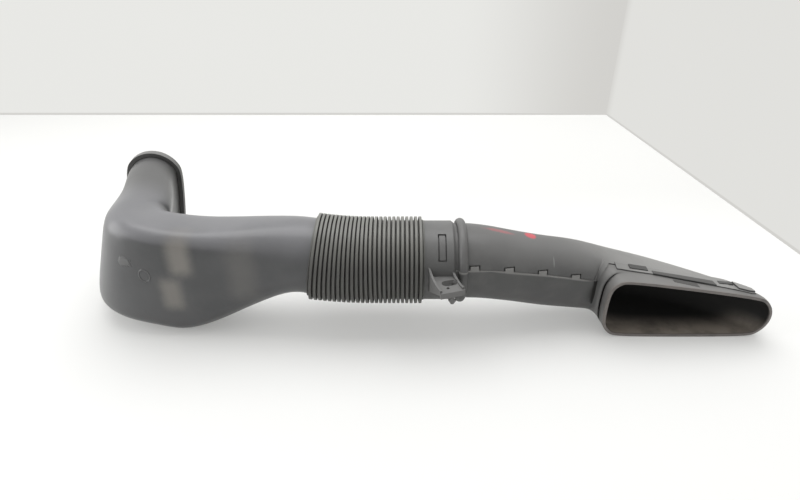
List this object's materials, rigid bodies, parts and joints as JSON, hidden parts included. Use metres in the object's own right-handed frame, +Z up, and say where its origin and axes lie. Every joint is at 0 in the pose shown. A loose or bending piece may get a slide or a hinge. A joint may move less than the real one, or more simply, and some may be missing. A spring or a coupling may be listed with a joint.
{
  "type": "air intake pipe",
  "caption": "Plastic engine air intake pipe: oblong sealed outlet on a flattened elbow, ribbed bellows, bracket collar and a two-shell snorkel with a wide flat mouth.",
  "frame": {"origin": "bottom centre of the whole pipe as it lies on a floor", "axes": "+X along the pipe from the outlet elbow to the mouth, +Y away from the mouth's opening, +Z up"},
  "size_m": [0.7452, 0.228, 0.1429],
  "materials": {
    "outlet_seal": "matt",
    "outlet_elbow": "satin, blow-moulded",
    "bellows": "satin elastomer",
    "bracket_collar": "satin",
    "upper_shell": "satin, fine grain",
    "lower_shell": "satin, fine grain"
  },
  "bodies": {
    "root": {"outlet_seal": "outlet_seal", "outlet_elbow": "outlet_elbow", "bellows": "bellows", "bracket_collar": "bracket_collar", "upper_shell": "upper_shell", "lower_shell": "lower_shell"}
  },
  "joints": []
}
